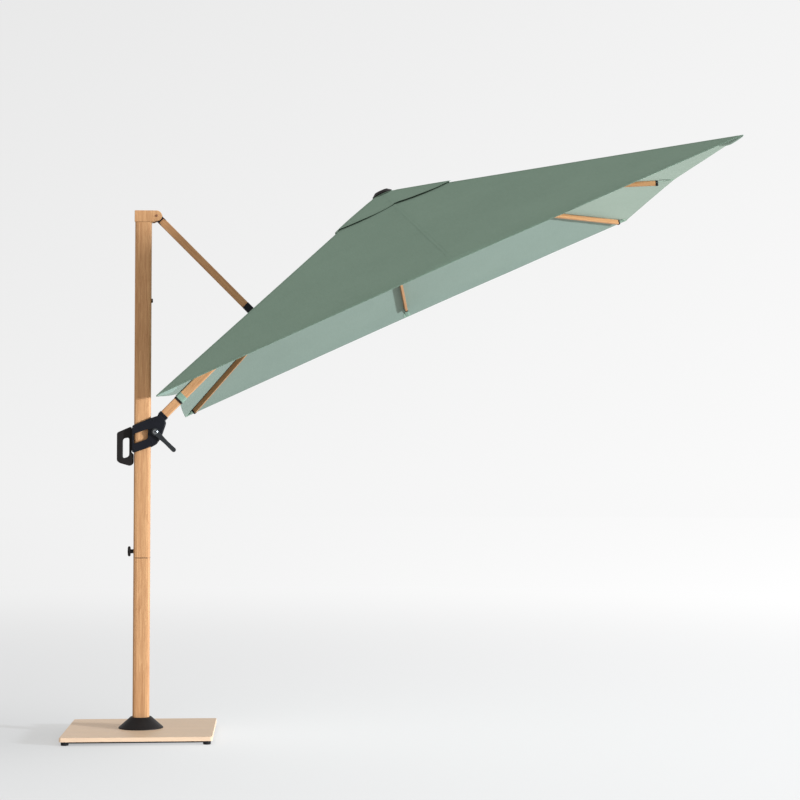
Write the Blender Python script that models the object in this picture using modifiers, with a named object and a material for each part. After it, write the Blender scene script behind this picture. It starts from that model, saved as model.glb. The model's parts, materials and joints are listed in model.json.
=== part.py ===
"""A cantilever parasol: base, turning mast, strut, sliding carriage, arm and folding square canopy.

Metres, +Z up. The origin is on the floor under the mast, +X runs from the mast to the canopy.
The canopy is drawn in its own frame: EX and EY span the plane of its corners, EN is its axis.
"""

from math import atan2, cos, hypot, radians, sin, tan

import bmesh
import bpy
from mathutils import Vector

# ---------------------------------------------------------------- dimensions
# Base
PLATE = 0.780  # side of the square cover plate
COVER_BOTTOM, COVER_TOP = 0.0196, 0.0410
SHEET = 0.0040  # thickness of the cover's sheet
BALLAST, BALLAST_BOTTOM, BALLAST_TOP = 0.764, 0.0120, 0.0365
FOOT_RADIUS, FOOT_AT = 0.020, 0.362
CENTRE_FOOT_RADIUS = 0.030
CONE_RADIUS, CONE_TOP_RADIUS, CONE_TOP, CONE_BORE = 0.118, 0.056, 0.100, 0.050

# Mast
MAST_X, MAST_Y, MAST_CORNER, MAST_WALL = 0.088, 0.062, 0.020, 0.003
MAST_FOOT, MAST_JOINT, MAST_TOP = 0.052, 0.942, 2.7368
KNOB_Z, KNOB_RADIUS = 0.976, 0.0255
BUTTON_Z, BUTTON_RADIUS = 2.316, 0.0115
HEAD_LEFT, HEAD_TOP, NOSE_RADIUS, HEAD_Y = -0.046, 2.7990, 0.0285, 0.065

# The linkage: the strut and the lower arm are equally long, so one ratio couples them
HEAD_PIN = Vector((0.0710, 0.0, 2.7707))
CARRIAGE_PIN = Vector((0.0710, 0.0, 1.6112))
STRUT_SLOPE = radians(45.0)
STRUT_DEPTH, STRUT_WIDTH = 0.040, 0.032
PIN_RADIUS, PIN_GAP = 0.0060, 0.0002
ARM_DEPTH, ARM_WIDTH = 0.047, 0.038
ARM_SLOPE = radians(45.5)
CHEEK_IN, CHEEK_OUT = 0.0338, 0.0455

# Canopy
TILT = radians(24.3)
CANOPY_CENTRE = Vector((1.530, 0.0, 2.356))
HALF = 1.500  # half the side of the square
HUB_HEIGHT, HUB_PIN_RADIUS, HUB_RADIUS = 0.570, 0.060, 0.068
RIB_WIDTH, RIB_DEPTH, RIB_WALL = 0.015, 0.027, 0.0015
SIDE_FALL, CORNER_FALL = radians(21.2), radians(15.86)  # ribs below the canopy plane
SIDE_RIB_END, CORNER_RIB_END = 1.405, 2.036  # distances from the canopy's axis
SIDE_LINK, CORNER_LINK = 0.500, 0.4376  # lengths of the stretchers
LINK_DEPTH, LINK_THICK = 0.014, 0.008
CLOTH = 0.0013
VENT_HALF, HOLE_HALF = 0.332, 0.200
ARM_SIDE_BOW = 0.055  # how far the edge is drawn in at the arm
SPOKES = {
    "right": 0, "far_right": 45, "far": 90, "far_left": 135,
    "arm": 180, "near_left": 225, "near": 270, "near_right": 315,
}  # fmt: skip
GAP = 0.0003  # between pieces that touch

# ---------------------------------------------------------------- directions
EX = Vector((cos(TILT), 0, sin(TILT)))
EY = Vector((0, 1, 0))
EN = Vector((-sin(TILT), 0, cos(TILT)))
UP = Vector((0, 0, 1))
KNEE = CARRIAGE_PIN + Vector(
    ((HEAD_PIN.z - CARRIAGE_PIN.z) / 2 / tan(STRUT_SLOPE), 0, (HEAD_PIN.z - CARRIAGE_PIN.z) / 2)
)
STRUT_LENGTH = (HEAD_PIN - KNEE).length
STRUT_DIR = (HEAD_PIN - KNEE) / STRUT_LENGTH  # from the knee up to the head
STRUT_SIDE = Vector((STRUT_DIR.z, 0, -STRUT_DIR.x))
ARM_DIR = Vector((cos(ARM_SLOPE), 0, sin(ARM_SLOPE)))
ARM_UP = Vector((-sin(ARM_SLOPE), 0, cos(ARM_SLOPE)))
ARM_PIN = CANOPY_CENTRE + HUB_HEIGHT * EN - HUB_PIN_RADIUS * EX
ARM_LENGTH = (ARM_PIN - CARRIAGE_PIN).dot(ARM_DIR)


def canopy_point(a, b, n):
    return CANOPY_CENTRE + a * EX + b * EY + n * EN


def arm_point(u, v=0.0):
    """A point of the arm: u along it from the carriage pin, v above its middle."""
    return ARM_PIN + (u - ARM_LENGTH) * ARM_DIR + v * ARM_UP


# ---------------------------------------------------------------- materials and collections
def material(name, colour, metallic=0.0, roughness=0.5):
    m = bpy.data.materials.new(name)
    m.use_nodes = True
    shader = m.node_tree.nodes["Principled BSDF"]
    shader.inputs["Base Color"].default_value = (*colour, 1)
    shader.inputs["Metallic"].default_value = metallic
    shader.inputs["Roughness"].default_value = roughness
    m.diffuse_color = (*colour, 1)
    return m


for old in list(bpy.data.objects):
    bpy.data.objects.remove(old)
PARTS = bpy.data.collections.new("cantilever_parasol")
CUTTERS = bpy.data.collections.new("cutters")
bpy.context.scene.collection.children.link(PARTS)
bpy.context.scene.collection.children.link(CUTTERS)

WOOD = material("wood_look", (0.58, 0.35, 0.17), roughness=0.45)
BLACK = material("black_coat", (0.02, 0.02, 0.022), roughness=0.45)
STEEL = material("steel", (0.55, 0.56, 0.58), metallic=1.0, roughness=0.35)
BALLAST_COAT = material("ballast_coat", (0.03, 0.03, 0.03), roughness=0.7)
RUBBER = material("rubber", (0.02, 0.02, 0.02), roughness=0.8)
FABRIC = material("fabric", (0.18, 0.27, 0.21), roughness=0.9)


# ---------------------------------------------------------------- builders
def solid(name, points, faces, look):
    """One closed object. Without a material it is a helper, which isn't rendered."""
    mesh = bpy.data.meshes.new(name)
    mesh.from_pydata([tuple(p) for p in points], [], faces)
    shape = bmesh.new()
    shape.from_mesh(mesh)
    bmesh.ops.recalc_face_normals(shape, faces=shape.faces)
    shape.to_mesh(mesh)
    shape.free()
    made = bpy.data.objects.new(name, mesh)
    if look is None:
        made.hide_render = True
        made.display_type = "WIRE"
        CUTTERS.objects.link(made)
    else:
        mesh.materials.append(look)
        PARTS.objects.link(made)
    return made


def loft(name, rings, look, ring_shaped=False):
    """A skin over equal rings of points, with an end face on each end or joined to itself."""
    count = len(rings[0])
    points = [p for ring in rings for p in ring]
    faces = []
    for k in range(len(rings) if ring_shaped else len(rings) - 1):
        a, b = k * count, (k + 1) % len(rings) * count
        for i in range(count):
            j = (i + 1) % count
            faces.append((a + i, a + j, b + j, b + i))
    if not ring_shaped:
        faces.append(tuple(range(count)))
        faces.append(tuple(range(len(points) - count, len(points))))
    return solid(name, points, faces, look)


def rounded(outline, size, steps=3):
    """The outline with each corner replaced by a curve that starts size from it."""
    result = []
    for i, here in enumerate(outline):
        here = Vector(here)
        before, after = Vector(outline[i - 1]) - here, Vector(outline[(i + 1) % len(outline)]) - here
        start = here + before.normalized() * min(size, before.length * 0.45)
        end = here + after.normalized() * min(size, after.length * 0.45)
        for k in range(steps + 1):
            t = k / steps
            result.append((1 - t) ** 2 * start + 2 * t * (1 - t) * here + t * t * end)
    return result


def arc(centre, radius, start, end, steps):
    """Points of a circle, with its angles in degrees."""
    angles = [radians(start + (end - start) * k / steps) for k in range(steps + 1)]
    return [(centre[0] + radius * cos(a), centre[1] + radius * sin(a)) for a in angles]


def box_outline(width, depth, corner, steps=3):
    x, y = width / 2, depth / 2
    return rounded(((x, y), (-x, y), (-x, -y), (x, -y)), corner, steps)


def place(outline, origin, first, second):
    return [origin + p[0] * first + p[1] * second for p in outline]


def prism(name, outline, origin, first, second, low, high, look):
    """A flat plate: its outline spans first and second, its thickness runs along their normal."""
    normal = first.cross(second)
    rings = [place(outline, origin + h * normal, first, second) for h in (low, high)]
    return loft(name, rings, look)


def plate_xz(name, outline, near, far, look):
    """A plate whose outline is given as (x, z), between two values of y."""
    rings = [[Vector((x, y, z)) for x, z in outline] for y in (near, far)]
    return loft(name, rings, look)


def tube(name, start, end, across, width, depth, corner, wall, look):
    """A hollow bar with open ends; across is the direction of its width."""
    along = (end - start).normalized()
    other = along.cross(across)
    outer = box_outline(width, depth, corner)
    inner = box_outline(width - 2 * wall, depth - 2 * wall, max(corner - wall, 0.0005))
    stations = ((outer, start), (outer, end), (inner, end), (inner, start))
    rings = [place(outline, at, across, other) for outline, at in stations]
    return loft(name, rings, look, ring_shaped=True)


def turned(name, profile, origin, axis, look, ring_shaped=False, steps=24):
    """A turned piece; the profile is (radius, height along the axis)."""
    first = axis.cross(UP if abs(axis.z) < 0.9 else Vector((1, 0, 0))).normalized()
    second = axis.cross(first)
    rings = []
    for radius, height in profile:
        circle = arc((0, 0), radius, 0, 360 * (steps - 1) / steps, steps - 1)
        rings.append(place(circle, origin + height * axis, first, second))
    return loft(name, rings, look, ring_shaped)


def boolean(target, tool, operation="DIFFERENCE"):
    step = target.modifiers.new(operation.lower(), "BOOLEAN")
    step.object, step.operation, step.solver = tool, operation, "EXACT"
    return target


def soften(target, width, segments=2):
    edge = target.modifiers.new("soft edges", "BEVEL")
    edge.width, edge.segments, edge.limit_method, edge.angle_limit = width, segments, "ANGLE", radians(50)
    return target


def bore(target, at, radius=PIN_RADIUS + PIN_GAP, axis=EY, length=0.2, steps=24):
    name = f"bore_{target.name}_{len(target.modifiers)}"
    profile = [(radius, -length / 2), (radius, length / 2)]
    return boolean(target, turned(name, profile, at, axis, None, steps=steps))


def box(name, low, high, look=None):
    corners = ((low[0], low[1]), (high[0], low[1]), (high[0], high[1]), (low[0], high[1]))
    rings = [[Vector((x, y, z)) for x, y in corners] for z in (low[2], high[2])]
    return loft(name, rings, look)


# ---------------------------------------------------------------- base
def build_base():
    corner = 0.012
    inside = PLATE - 2 * SHEET
    levels = (
        (inside, COVER_TOP - SHEET), (inside, COVER_BOTTOM), (PLATE, COVER_BOTTOM),
        (PLATE, COVER_TOP - 0.002), (PLATE - 0.004, COVER_TOP),
    )  # fmt: skip
    x, y = Vector((1, 0, 0)), EY
    rings = [place(box_outline(side, side, corner), Vector((0, 0, z)), x, y) for side, z in levels]
    cover = loft("base_cover", rings, WOOD)
    bore(cover, Vector((0, 0, COVER_TOP)), 0.0475, UP, 0.1, 32)

    outline = box_outline(BALLAST, BALLAST, corner)
    slab = [place(outline, Vector((0, 0, z)), x, y) for z in (BALLAST_BOTTOM, BALLAST_TOP)]
    loft("ballast_plate", slab, BALLAST_COAT)

    foot = [(FOOT_RADIUS - 0.002, 0), (FOOT_RADIUS, 0.002), (FOOT_RADIUS, BALLAST_BOTTOM - GAP)]
    for side_x, name_x in ((-1, "left"), (1, "right")):
        for side_y, name_y in ((-1, "near"), (1, "far")):
            at = Vector((side_x * FOOT_AT, side_y * FOOT_AT, 0))
            turned(f"foot_{name_y}_{name_x}", foot, at, UP, RUBBER, steps=20)
    turned(
        "centre_foot", [(CENTRE_FOOT_RADIUS, 0), (CENTRE_FOOT_RADIUS, BALLAST_BOTTOM - GAP)],
        Vector((0, 0, 0)), UP, RUBBER, steps=24,
    )  # fmt: skip
    cone = [
        (CONE_RADIUS, COVER_TOP + GAP), (CONE_RADIUS, 0.0455), (CONE_TOP_RADIUS + 0.002, CONE_TOP - 0.002),
        (CONE_TOP_RADIUS, CONE_TOP), (CONE_BORE, CONE_TOP), (CONE_BORE, 0.060), (0.100, COVER_TOP + GAP),
    ]  # fmt: skip
    turned("cone_collar", cone, Vector((0, 0, 0)), UP, BLACK, ring_shaped=True, steps=40)
    flange = BALLAST_TOP + GAP
    spigot = [(0.046, flange), (0.046, 0.0480), (0.0262, 0.0490), (0.0262, 0.360)]
    turned("spigot", spigot, Vector((0, 0, 0)), UP, STEEL, steps=32)


# ---------------------------------------------------------------- mast
def build_mast():
    x = Vector((1, 0, 0))

    def post(name, low, high):
        start, end = Vector((0, 0, low)), Vector((0, 0, high))
        return tube(name, start, end, x, MAST_X, MAST_Y, MAST_CORNER, MAST_WALL, WOOD)

    post("lower_mast", MAST_FOOT, MAST_JOINT - GAP)
    upper = post("upper_mast", MAST_JOINT + GAP, MAST_TOP)
    bore(upper, Vector((-MAST_X / 2, 0, KNOB_Z)), 0.0085, x, 0.02, 20)
    bore(upper, Vector((MAST_X / 2, 0, BUTTON_Z)), BUTTON_RADIUS + 0.0004, x, 0.02, 20)
    room = 2 * (MAST_WALL + 0.0004)
    tube(
        "mast_insert", Vector((0, 0, 0.79)), Vector((0, 0, 1.10)), x,
        MAST_X - room, MAST_Y - room, MAST_CORNER - 0.0034, 0.0025, STEEL,
    )  # fmt: skip
    knob = [
        (0.0080, 0.0413), (0.0080, 0.0446), (0.0110, 0.0446), (0.0110, 0.0600),
        (KNOB_RADIUS - 0.002, 0.0600), (KNOB_RADIUS, 0.0620),
        (KNOB_RADIUS, 0.0716), (KNOB_RADIUS - 0.003, 0.0736),
    ]  # fmt: skip
    turned("lock_knob", knob, Vector((0, 0, KNOB_Z)), -x, BLACK, steps=20)
    button = [(BUTTON_RADIUS, 0.0300), (BUTTON_RADIUS, 0.0495), (BUTTON_RADIUS - 0.002, 0.0515)]
    turned("stop_button", button, Vector((0, 0, BUTTON_Z)), x, BLACK, steps=20)

    pin = (HEAD_PIN.x, HEAD_PIN.z)
    bottom = MAST_TOP + 0.0004
    outline = [(HEAD_LEFT, HEAD_TOP), (HEAD_LEFT, bottom), (0.056, bottom)]
    outline += arc(pin, NOSE_RADIUS, -100, 80, 12) + [(0.062, HEAD_TOP)]
    head = plate_xz("mast_head", outline, -HEAD_Y / 2, HEAD_Y / 2, WOOD)
    soften(head, 0.0030, 3)
    snug = box_outline(MAST_X - room, MAST_Y - room, MAST_CORNER - 0.0034)
    plug = loft("head_plug", [place(snug, Vector((0, 0, z)), x, EY) for z in (2.700, bottom + 0.001)], None)
    boolean(head, plug, "UNION")
    slot = STRUT_WIDTH / 2 + 0.0008
    boolean(head, box("head_slot", (0.0480, -slot, 2.70), (0.12, slot, 2.82)))
    bore(head, HEAD_PIN)
    half = HEAD_Y / 2 + 0.001
    turned("head_pin", [(PIN_RADIUS, -half), (PIN_RADIUS, half)], HEAD_PIN, EY, STEEL, steps=20)


# ---------------------------------------------------------------- strut
def build_strut():
    half = STRUT_DEPTH / 2
    end_length, fork_length = 0.049, 0.148
    width = STRUT_WIDTH / 2

    outline = arc((0, 0), half - 0.0006, -90, 90, 10) + [(-end_length, half), (-end_length, -half)]
    upper = prism("strut_upper_end", outline, HEAD_PIN, STRUT_DIR, STRUT_SIDE, -width, width, BLACK)
    soften(upper, 0.0015)
    bore(upper, HEAD_PIN)

    tube(
        "strut_tube", KNEE + (fork_length + GAP) * STRUT_DIR, HEAD_PIN - (end_length + GAP) * STRUT_DIR,
        EY, STRUT_WIDTH, STRUT_DEPTH, 0.006, 0.002, WOOD,
    )  # fmt: skip

    outside, inside = 0.0275, 0.0202
    outline = arc((0, 0), half, 90, 270, 10) + [(fork_length, -half), (fork_length, half)]
    fork = prism("strut_fork", outline, KNEE, STRUT_DIR, STRUT_SIDE, -outside, outside, BLACK)
    soften(fork, 0.0025)
    gap = [(-0.03, -0.03), (0.123, -0.03), (0.123, 0.03), (-0.03, 0.03)]
    boolean(fork, prism("fork_gap", gap, KNEE, STRUT_DIR, STRUT_SIDE, -inside, inside, None))
    bore(fork, KNEE)


# ---------------------------------------------------------------- carriage
def build_carriage():
    pin = CARRIAGE_PIN
    outline = [
        (-0.052, 1.645), (0.0475, 1.686), (0.093, 1.7015), (0.113, 1.690), (0.124, 1.660), (0.112, 1.624),
        (0.097, 1.581), (0.073, 1.547), (0.046, 1.532), (-0.042, 1.501), (-0.052, 1.505),
    ]  # fmt: skip
    window = [(-0.046, 1.599), (-0.0425, 1.547), (0.030, 1.575), (0.0325, 1.628)]
    for name, near, far in (("cheek_near", -CHEEK_OUT, -CHEEK_IN), ("cheek_far", CHEEK_IN, CHEEK_OUT)):
        cheek = plate_xz(name, rounded(outline, 0.008), near, far, BLACK)
        boolean(cheek, plate_xz(f"window_{name}", rounded(window, 0.008), near - 0.01, far + 0.01, None))
        soften(cheek, 0.0018)
        bore(cheek, pin, 0.0082)

    grip = [
        (-0.0580, 1.6420), (-0.1345, 1.6085), (-0.1345, 1.4580), (-0.1200, 1.4460), (-0.0640, 1.4300),
        (-0.0468, 1.4430), (-0.0468, 1.4960), (-0.0580, 1.5000),
    ]  # fmt: skip
    handle = plate_xz("handle", rounded(grip, 0.010), -0.019, 0.019, BLACK)
    finger = [(-0.1040, 1.5770), (-0.1040, 1.4700), (-0.0690, 1.4810), (-0.0690, 1.5830)]
    boolean(handle, plate_xz("finger_slot", rounded(finger, 0.014, 5), -0.03, 0.03, None))
    soften(handle, 0.0050, 3)

    inner = CHEEK_IN - GAP
    left = [(-0.0577, 1.6300), (-0.0577, 1.5125), (-0.0456, 1.5145), (-0.0456, 1.6350)]
    plate_xz("guide_left", left, -inner, inner, BLACK)
    right = [(0.0456, 1.5820), (0.0456, 1.5360), (0.0580, 1.5430), (0.0580, 1.5820)]
    plate_xz("guide_right", right, -inner, inner, BLACK)

    bolt = [(0.0110, -0.0655), (0.0135, -0.0640), (0.0135, -0.0603), (0.0080, -0.0603), (0.0080, 0.0570)]
    turned("pivot_bolt", bolt, pin, EY, STEEL)
    hexagon = arc((pin.x, pin.z), 0.0140, 0, 300, 5)
    nut = plate_xz("pivot_nut", hexagon, CHEEK_OUT + GAP, CHEEK_OUT + 0.0085, STEEL)
    bore(nut, pin, 0.0082)

    tip = Vector((0.1690, 0, 1.5160)) - pin
    angle, reach = atan2(tip.z, tip.x), hypot(tip.x, tip.z)
    along, across = Vector((cos(angle), 0, sin(angle))), Vector((-sin(angle), 0, cos(angle)))
    outline = arc((0, 0), 0.021, 45, 315, 14)
    outline += [(0.032, -0.0138), (0.080, -0.0108)]
    outline += arc((reach, 0), 0.0122, -80, 80, 6)
    outline += [(0.080, 0.0108), (0.032, 0.0138)]
    lever = prism("clamp_lever", outline, pin, along, across, CHEEK_OUT + 0.0006, 0.0600, BLACK)
    bore(lever, pin, 0.0082)
    soften(lever, 0.0025)


# ---------------------------------------------------------------- arm
def build_arm():
    drop = (CARRIAGE_PIN - ARM_PIN).dot(ARM_UP)  # the pin is below the middle of the arm
    half, width = ARM_DEPTH / 2, ARM_WIDTH / 2
    sleeve, end = 0.083, 0.100
    edge = half + 0.0027
    outline = arc((0, 0), 0.0235, 102, 300, 12)
    outline += [(end - 0.050, -drop - edge - 0.006), (sleeve, -drop - edge), (end, -drop - edge)]
    outline += [(end, -drop + edge), (sleeve, -drop + edge)]
    wide = width + 0.003
    socket = prism("arm_socket", outline, CARRIAGE_PIN, ARM_DIR, ARM_UP, -wide, wide, BLACK)
    soften(socket, 0.0020)
    boss = [(0.0235, -CHEEK_IN + 0.0006), (0.0235, CHEEK_IN - 0.0006)]
    boolean(socket, turned("socket_boss", boss, CARRIAGE_PIN, EY, None, steps=32), "UNION")
    bore(socket, CARRIAGE_PIN, 0.0082)

    hub_end = 0.064
    tube(
        "arm_tube", arm_point(end + GAP), arm_point(ARM_LENGTH - hub_end - GAP),
        EY, ARM_WIDTH, ARM_DEPTH, 0.008, 0.0022, WOOD,
    )  # fmt: skip

    block = [
        (-hub_end, -half), (-0.044, -half), (-0.038, -0.013),
        (-0.038, 0.013), (-0.044, half), (-hub_end, half),
    ]  # fmt: skip
    tongue = prism("arm_hub_end", block, ARM_PIN, ARM_DIR, ARM_UP, -width + 0.001, width - 0.001, BLACK)
    finger = arc((0, 0), 0.0125, -90, 90, 8) + [(-0.045, 0.0125), (-0.045, -0.0125)]
    boolean(tongue, prism("arm_tongue", finger, ARM_PIN, ARM_DIR, ARM_UP, -0.0098, 0.0098, None), "UNION")

    at = KNEE - ARM_PIN
    at = (at.dot(ARM_DIR), at.dot(ARM_UP))
    top = -half - GAP
    outline = arc(at, 0.0145, 180, 360, 10) + [(at[0] + 0.030, top), (at[0] - 0.030, top)]
    lug = prism("knee_lug", outline, ARM_PIN, ARM_DIR, ARM_UP, -width, width, BLACK)
    bore(lug, KNEE)
    pin = [
        (0.0095, -0.0315), (0.0095, -0.0279), (PIN_RADIUS, -0.0279),
        (PIN_RADIUS, 0.0279), (0.0095, 0.0279), (0.0095, 0.0315),
    ]  # fmt: skip
    turned("knee_pin", pin, KNEE, EY, STEEL, steps=20)

    for name, low, high, wall, look in (
        ("strap_band", 0.2000, 0.2110, 0.0020, BLACK), ("arm_strap", 0.2113, 0.2450, 0.0015, FABRIC),
    ):  # fmt: skip
        room = 2 * (wall + GAP)
        wide, deep = ARM_WIDTH + room, ARM_DEPTH + room
        tube(name, arm_point(low), arm_point(high), EY, wide, deep, 0.0095, wall, look)


# ---------------------------------------------------------------- canopy frame
def spoke(name):
    """The hub pin, the direction outwards along the spoke, its hinge axis and what is special to corners."""
    turn = radians(SPOKES[name])
    outwards = cos(turn) * EX + sin(turn) * EY
    corner = SPOKES[name] % 90 == 45
    fall = CORNER_FALL if corner else SIDE_FALL
    pin = canopy_point(0, 0, HUB_HEIGHT) + HUB_PIN_RADIUS * outwards
    return pin, cos(fall) * outwards - sin(fall) * EN, EN.cross(outwards), corner, fall


def build_ribs():
    for name in SPOKES:
        pin, along, axis, corner, fall = spoke(name)
        above = axis.cross(along)
        if name != "arm":
            reach = ((CORNER_RIB_END if corner else SIDE_RIB_END) - HUB_PIN_RADIUS) / cos(fall)
            half = RIB_DEPTH / 2
            outline = arc((0, 0), half, 90, 270, 8) + [(reach, -half), (reach, half)]
            rib = prism(f"rib_{name}", outline, pin, along, above, -RIB_WIDTH / 2, RIB_WIDTH / 2, WOOD)
            soften(rib, 0.0012)
            low, high = 0.035, half - RIB_WALL
            inside = [(low, -high), (reach + 0.01, -high), (reach + 0.01, high), (low, high)]
            wide = RIB_WIDTH / 2 - RIB_WALL
            boolean(rib, prism(f"inside_{name}", inside, pin, along, above, -wide, wide, None))

        length = CORNER_LINK if corner else SIDE_LINK
        aside = (ARM_WIDTH if name == "arm" else RIB_WIDTH) / 2 + 0.001 + LINK_THICK / 2
        outer = pin + length * along
        inner = pin - 2 * length * sin(fall) * EN
        down = (inner - outer).normalized()
        half = LINK_DEPTH / 2
        outline = arc((0, 0), half, 90, 270, 6) + arc((length, 0), half, -90, 90, 6)
        side = axis.cross(down)
        low, high = aside - LINK_THICK / 2, aside + LINK_THICK / 2
        soften(prism(f"stretcher_{name}", outline, outer, down, side, low, high, BLACK), 0.0010)


def build_hub():
    axis_foot = canopy_point(0, 0, 0)
    profile = [
        (HUB_RADIUS - 0.003, 0.540), (HUB_RADIUS, 0.543), (HUB_RADIUS, 0.5780),
        (HUB_RADIUS - 0.003, 0.5810), (0.018, 0.5815), (0.018, 0.5970),
    ]  # fmt: skip
    hub = turned("crown_hub", profile, axis_foot, EN, BLACK, steps=48)
    points, faces = [], []
    for name, turn in SPOKES.items():
        outwards = cos(radians(turn)) * EX + sin(radians(turn)) * EY
        across = EN.cross(outwards)
        wide = 0.0103 if name == "arm" else RIB_WIDTH / 2 + 0.0007
        first = len(points)
        for n in (0.530, 0.590):
            for r, t in ((0.042, -wide), (0.080, -wide), (0.080, wide), (0.042, wide)):
                points.append(axis_foot + r * outwards + t * across + n * EN)
        for face in ((0, 3, 2, 1), (4, 5, 6, 7), (0, 1, 5, 4), (1, 2, 6, 5), (2, 3, 7, 6), (3, 0, 4, 7)):
            faces.append(tuple(first + k for k in face))
    boolean(hub, solid("hub_slots", points, faces, None))

    cap = [(0.0565, 0.5983), (0.0570, 0.6020), (0.0360, 0.6180), (0.0150, 0.6195)]
    turned("top_cap", cap, axis_foot, EN, BLACK, steps=32)

    side_level = HUB_HEIGHT - 2 * SIDE_LINK * sin(SIDE_FALL)
    corner_level = HUB_HEIGHT - 2 * CORNER_LINK * sin(CORNER_FALL)
    body = [(0.020, side_level - 0.022), (0.020, corner_level + 0.022)]
    runner = turned("runner", body, axis_foot, EN, BLACK, steps=24)
    points, faces = [], []
    for name, turn in SPOKES.items():
        outwards = cos(radians(turn)) * EX + sin(radians(turn)) * EY
        across = EN.cross(outwards)
        level = corner_level if turn % 90 == 45 else side_level
        high = (ARM_WIDTH if name == "arm" else RIB_WIDTH) / 2 + 0.0003
        first = len(points)
        for n in (level - 0.011, level + 0.011):
            for r, t in ((0.016, -0.0065), (0.072, -0.0065), (0.072, high), (0.016, high)):
                points.append(axis_foot + r * outwards + t * across + n * EN)
        for face in ((0, 3, 2, 1), (4, 5, 6, 7), (0, 1, 5, 4), (1, 2, 6, 5), (2, 3, 7, 6), (3, 0, 4, 7)):
            faces.append(tuple(first + k for k in face))
    boolean(runner, solid("runner_lugs", points, faces, None), "UNION")


# ---------------------------------------------------------------- fabric
def canopy_heights(m):
    """Heights over the canopy plane on the square of half side m: (side ribs, arm, corner ribs)."""
    return 0.6103 - tan(SIDE_FALL) * m, 0.6220 - tan(SIDE_FALL) * m, 0.6056 - tan(CORNER_FALL) * m * 2**0.5


def vent_heights(m):
    side, arm, corner = 0.6127 - 0.3456 * m, 0.6121 - 0.3015 * m, 0.6115 - 0.3420 * m
    return min(side, 0.5945), min(arm, 0.5950), min(corner, 0.5945)


def square_sheet(name, heights, squares, bow):
    """A thin closed sheet over a square opening, with ridges at the eight spokes."""
    steps = 8  # along each side of a square
    layers = []
    for lift in (0.0, CLOTH):
        rings = []
        for m in squares:
            side, arm, corner = heights(m)
            ring = []
            for turn in (0, 90, 180, 270):
                outwards = cos(radians(turn)) * EX + sin(radians(turn)) * EY
                across = EN.cross(outwards)
                middle = arm if turn == 180 else side
                for k in range(steps):
                    t = -1 + 2 * k / steps
                    drawn_in = bow * (1 - abs(t)) ** 1.5 if turn == 180 and m == squares[-1] else 0
                    n = middle + (corner - middle) * abs(t) + drawn_in * tan(SIDE_FALL) + lift
                    ring.append(canopy_point(0, 0, n) + (m - drawn_in) * outwards + t * m * across)
            rings.append(ring)
        layers.append(rings)
    return loft(name, layers[0] + layers[1][::-1], FABRIC, ring_shaped=True)


def build_fabric():
    canopy = square_sheet("canopy", canopy_heights, (HOLE_HALF, 0.5, 0.9, 1.2, 1.38, HALF), ARM_SIDE_BOW)
    knee = KNEE - CARRIAGE_PIN
    u = knee.dot(ARM_DIR)
    slot = rounded([(u - 0.110, -0.031), (u + 0.145, -0.031), (u + 0.145, 0.031), (u - 0.110, 0.031)], 0.012)
    origin = arm_point(0.0)
    boolean(canopy, prism("strut_slot", slot, origin, ARM_DIR, EY, -0.08, 0.08, None))
    square_sheet("vent", vent_heights, (0.024, 0.055, 0.18, VENT_HALF), 0)


build_base()
build_mast()
build_strut()
build_carriage()
build_arm()
build_hub()
build_ribs()
build_fabric()
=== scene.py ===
"""Looks of the cantilever parasol: finishes, sewn cloth, straps, end caps and small fittings.

Metres, in the CAD's frame: the floor is at z = 0 and +X runs from the mast to the canopy.
The canopy has its own frame: EX and EY span the plane of its four corners, EN is its axis.
"""

import json
from math import ceil, cos, hypot, pi, radians, sin, sqrt, tan

import bpy
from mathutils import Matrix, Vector, noise

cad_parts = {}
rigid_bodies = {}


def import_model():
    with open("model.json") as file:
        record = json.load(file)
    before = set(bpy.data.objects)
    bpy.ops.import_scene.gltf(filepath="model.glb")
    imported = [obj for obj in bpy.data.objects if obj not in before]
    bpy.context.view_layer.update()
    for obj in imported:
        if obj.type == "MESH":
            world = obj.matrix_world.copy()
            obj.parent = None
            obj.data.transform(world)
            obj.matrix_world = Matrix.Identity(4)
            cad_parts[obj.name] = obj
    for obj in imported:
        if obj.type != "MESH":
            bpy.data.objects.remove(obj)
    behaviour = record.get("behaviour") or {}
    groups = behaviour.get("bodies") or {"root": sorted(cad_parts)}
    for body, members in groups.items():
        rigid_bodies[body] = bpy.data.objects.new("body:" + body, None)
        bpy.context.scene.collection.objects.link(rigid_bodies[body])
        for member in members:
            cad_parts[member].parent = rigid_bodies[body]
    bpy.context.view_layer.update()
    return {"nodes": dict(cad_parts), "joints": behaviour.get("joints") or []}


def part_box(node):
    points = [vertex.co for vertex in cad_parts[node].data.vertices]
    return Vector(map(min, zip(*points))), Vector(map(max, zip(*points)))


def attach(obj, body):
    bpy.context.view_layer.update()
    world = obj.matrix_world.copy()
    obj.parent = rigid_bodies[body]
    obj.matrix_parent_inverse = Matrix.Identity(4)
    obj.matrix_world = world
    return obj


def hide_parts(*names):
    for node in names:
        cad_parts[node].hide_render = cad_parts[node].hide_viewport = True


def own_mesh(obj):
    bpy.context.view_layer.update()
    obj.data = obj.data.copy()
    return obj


for old in list(bpy.data.objects):
    bpy.data.objects.remove(old)
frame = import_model()

# ---------------------------------------------------------------- the CAD's directions and points
JOINTS = {joint["name"]: joint for joint in frame["joints"]}


def joint_at(name):
    return Vector(JOINTS[name]["pos_m"])


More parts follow.
